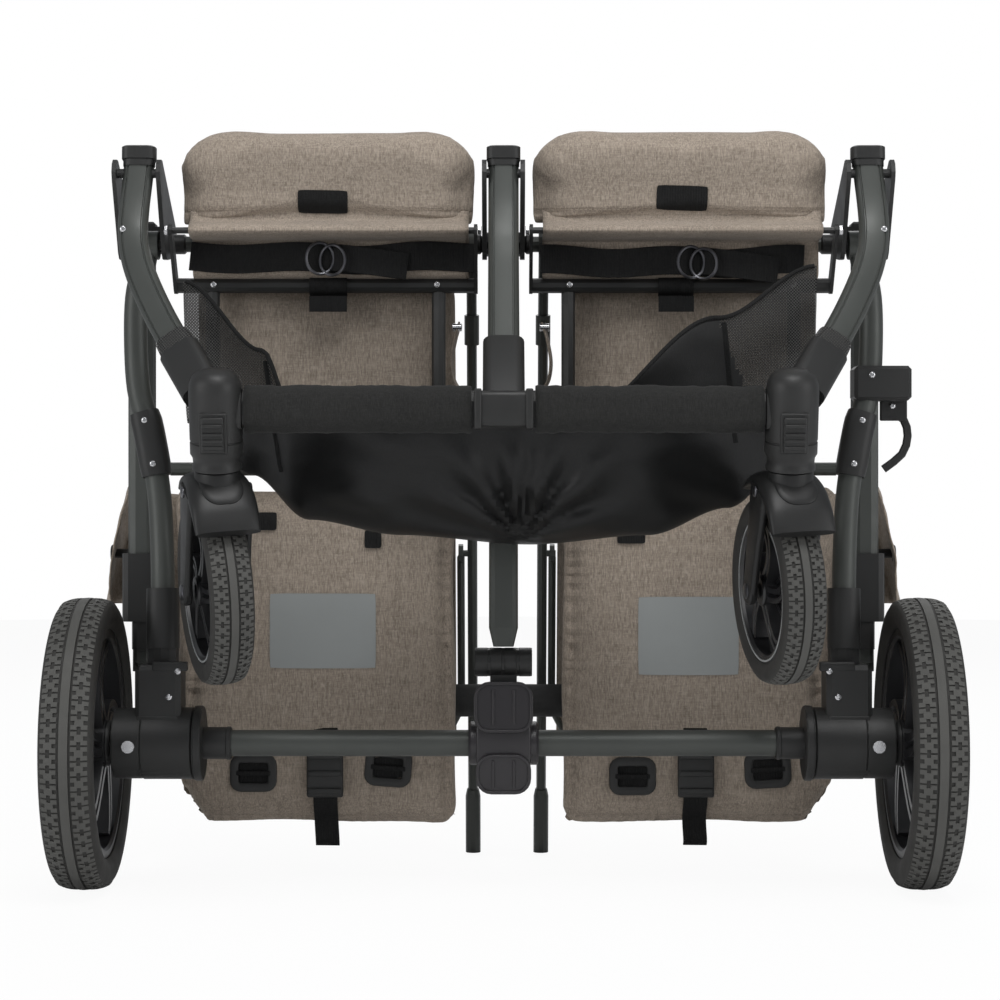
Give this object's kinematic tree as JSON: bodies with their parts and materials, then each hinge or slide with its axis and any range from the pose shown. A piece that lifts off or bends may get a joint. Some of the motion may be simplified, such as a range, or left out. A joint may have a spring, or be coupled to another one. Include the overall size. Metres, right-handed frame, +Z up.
{
  "type": "folded double stroller",
  "caption": "Side-by-side double stroller, folded, with an unfolding frame, swivelling casters, reclining seats, hoods and a telescoping handle.",
  "frame": {"origin": "middle of the bounding box on the floor, with the stroller folded and standing on its rear wheels and post feet", "axes": "+X to the stroller's side where the storage latch is, -Y towards the underside and the front wheels, +Z up"},
  "size_m": [0.76, 0.411, 0.6561],
  "materials": {
    "frame_paint": "satin",
    "black_plastic": "matte",
    "pedal_plastic": "matte",
    "bright_steel": "satin",
    "tyre_rubber": "matte",
    "grip_foam": "matte",
    "seat_fabric": "matte",
    "sleeve_cloth": "matte",
    "basket_cloth": "matte"
  },
  "bodies": {
    "axle": {"rear_axle_rod": "bright_steel"},
    "rear_frame": {"rear_axle_tube": "frame_paint", "hub_housing_left": "black_plastic", "hub_housing_right": "black_plastic", "rear_leg_left": "frame_paint", "rear_leg_right": "frame_paint", "rear_leg_centre": "frame_paint", "brake_housing": "black_plastic", "storage_latch_bracket": "black_plastic"},
    "brake_pedal": {"brake_pedal": "pedal_plastic"},
    "storage_hook": {"storage_latch_hook": "black_plastic"},
    "main_frame": {"main_tube_left": "frame_paint", "main_tube_right": "frame_paint", "main_bracket_left": "black_plastic", "main_bracket_right": "black_plastic", "hinge_bracket_left": "black_plastic", "hinge_bracket_centre": "black_plastic", "hinge_bracket_right": "black_plastic", "main_cross_tube": "frame_paint", "centre_post_left": "frame_paint", "centre_post_right": "frame_paint"},
    "handle": {"handle": "frame_paint", "handle_grip": "grip_foam"},
    "front_frame": {"front_leg_left": "frame_paint", "front_leg_centre": "frame_paint", "front_leg_right": "frame_paint", "front_cross_bar": "black_plastic", "cross_bar_sleeve_left": "sleeve_cloth", "cross_bar_sleeve_right": "sleeve_cloth", "caster_housing_left": "black_plastic", "caster_housing_right": "black_plastic", "basket": "basket_cloth"},
    "seat_frame": {"seat_frame_left": "frame_paint", "seat_frame_right": "frame_paint", "seat_pad_left": "seat_fabric", "seat_pad_right": "seat_fabric"},
    "recline_bar": {"recline_bar": "frame_paint"},
    "rear_wheel_left": {"rear_tyre_left": "tyre_rubber", "rear_rim_left": "black_plastic"},
    "release_pin_left": {"wheel_release_pin_left": "bright_steel"},
    "swivel_lock_left": {"swivel_lock_left": "black_plastic"},
    "caster_left": {"caster_fork_left": "black_plastic"},
    "front_wheel_left": {"front_tyre_left": "tyre_rubber", "front_rim_left": "black_plastic"},
    "calf_rest_left": {"calf_rest_left": "seat_fabric"},
    "backrest_left": {"backrest_left": "seat_fabric"},
    "hood_left": {"hood_bow_left": "frame_paint", "hood_fabric_left": "seat_fabric"},
    "rear_wheel_right": {"rear_tyre_right": "tyre_rubber", "rear_rim_right": "black_plastic"},
    "release_pin_right": {"wheel_release_pin_right": "bright_steel"},
    "swivel_lock_right": {"swivel_lock_right": "black_plastic"},
    "caster_right": {"caster_fork_right": "black_plastic"},
    "front_wheel_right": {"front_tyre_right": "tyre_rubber", "front_rim_right": "black_plastic"},
    "calf_rest_right": {"calf_rest_right": "seat_fabric"},
    "backrest_right": {"backrest_right": "seat_fabric"},
    "hood_right": {"hood_bow_right": "frame_paint", "hood_fabric_right": "seat_fabric"}
  },
  "joints": [
    {"name": "rear_lean", "type": "hinge", "parent": "axle", "child": "rear_frame", "pos_m": [0, -0.0245, 0.125], "axis": [1, 0, 0], "range_deg": [0, 41.6]},
    {"name": "main_fold", "type": "hinge", "parent": "rear_frame", "child": "main_frame", "pos_m": [0, 0.0055, 0.556], "axis": [1, 0, 0], "range_deg": [0, 100]},
    {"name": "front_fold", "type": "hinge", "parent": "main_frame", "child": "front_frame", "pos_m": [0, -0.0305, 0.614], "axis": [-1, 0, 0], "range_deg": [0, 155.6], "deforming": ["basket"]},
    {"name": "seat_fold", "type": "hinge", "parent": "main_frame", "child": "seat_frame", "pos_m": [0, 0.0355, 0.56], "axis": [-1, 0, 0], "range_deg": [0, 60]},
    {"name": "back_fold", "type": "hinge", "parent": "seat_frame", "child": "recline_bar", "pos_m": [0, 0.0805, 0.362], "axis": [1, 0, 0], "range_deg": [0, 78]},
    {"name": "handle_slide", "type": "slide", "parent": "main_frame", "child": "handle", "axis": [0, 0, -1], "range_m": [0, 0.25]},
    {"name": "brake_rock", "type": "hinge", "parent": "rear_frame", "child": "brake_pedal", "pos_m": [0, -0.0245, 0.125], "axis": [1, 0, 0], "range_deg": [0, 14]},
    {"name": "latch_swing", "type": "hinge", "parent": "rear_frame", "child": "storage_hook", "pos_m": [0.339, 0.009, 0.411], "axis": [0, -1, 0], "range_deg": [0, 40]},
    {"name": "rear_wheel_spin_left", "type": "hinge", "parent": "axle", "child": "rear_wheel_left", "pos_m": [-0.3575, -0.0245, 0.125], "axis": [1, 0, 0], "continuous": true},
    {"name": "release_press_left", "type": "slide", "parent": "rear_frame", "child": "release_pin_left", "axis": [0, 1, 0], "range_m": [0, 0.003], "stiffness_N_per_m": 400},
    {"name": "caster_swivel_left", "type": "hinge", "parent": "front_frame", "child": "caster_left", "pos_m": [-0.23, -0.1425, 0.2555], "axis": [0, -0.2419, 0.9703], "continuous": true},
    {"name": "front_wheel_spin_left", "type": "hinge", "parent": "caster_left", "child": "front_wheel_left", "pos_m": [-0.2368, -0.1222, 0.26056], "axis": [0.9511, 0.2998, 0.0748], "continuous": true},
    {"name": "swivel_lock_slide_left", "type": "slide", "parent": "front_frame", "child": "swivel_lock_left", "axis": [0, -0.2419, 0.9703], "range_m": [0, 0.006]},
    {"name": "calf_rest_swing_left", "type": "hinge", "parent": "seat_frame", "child": "calf_rest_left", "pos_m": [0, -0.0185, 0.5665], "axis": [1, 0, 0], "range_deg": [0, 75]},
    {"name": "recline_left", "type": "hinge", "parent": "recline_bar", "child": "backrest_left", "pos_m": [0, 0.0805, 0.362], "axis": [-1, 0, 0], "range_deg": [0, 12]},
    {"name": "hood_swing_left", "type": "hinge", "parent": "main_frame", "child": "hood_left", "pos_m": [0, 0.1255, 0.285], "axis": [1, 0, 0], "range_deg": [0, 105], "deforming": ["hood_fabric_left"]},
    {"name": "rear_wheel_spin_right", "type": "hinge", "parent": "axle", "child": "rear_wheel_right", "pos_m": [0.3575, -0.0245, 0.125], "axis": [1, 0, 0], "continuous": true},
    {"name": "release_press_right", "type": "slide", "parent": "rear_frame", "child": "release_pin_right", "axis": [0, 1, 0], "range_m": [0, 0.003], "stiffness_N_per_m": 400},
    {"name": "caster_swivel_right", "type": "hinge", "parent": "front_frame", "child": "caster_right", "pos_m": [0.23, -0.1425, 0.2555], "axis": [0, -0.2419, 0.9703], "continuous": true},
    {"name": "front_wheel_spin_right", "type": "hinge", "parent": "caster_right", "child": "front_wheel_right", "pos_m": [0.22543, -0.12162, 0.26071], "axis": [0.9781, 0.2017, 0.0503], "continuous": true},
    {"name": "swivel_lock_slide_right", "type": "slide", "parent": "front_frame", "child": "swivel_lock_right", "axis": [0, -0.2419, 0.9703], "range_m": [0, 0.006]},
    {"name": "calf_rest_swing_right", "type": "hinge", "parent": "seat_frame", "child": "calf_rest_right", "pos_m": [0, -0.0185, 0.5665], "axis": [1, 0, 0], "range_deg": [0, 75]},
    {"name": "recline_right", "type": "hinge", "parent": "recline_bar", "child": "backrest_right", "pos_m": [0, 0.0805, 0.362], "axis": [-1, 0, 0], "range_deg": [0, 12]},
    {"name": "hood_swing_right", "type": "hinge", "parent": "main_frame", "child": "hood_right", "pos_m": [0, 0.1255, 0.285], "axis": [1, 0, 0], "range_deg": [0, 105], "deforming": ["hood_fabric_right"]}
  ],
  "couplings": [
    {"joint": "rear_lean", "follows": "main_fold", "ratio": 0.416},
    {"joint": "front_fold", "follows": "main_fold", "ratio": 1.556},
    {"joint": "seat_fold", "follows": "main_fold", "ratio": 0.6},
    {"joint": "back_fold", "follows": "main_fold", "ratio": 0.78}
  ]
}
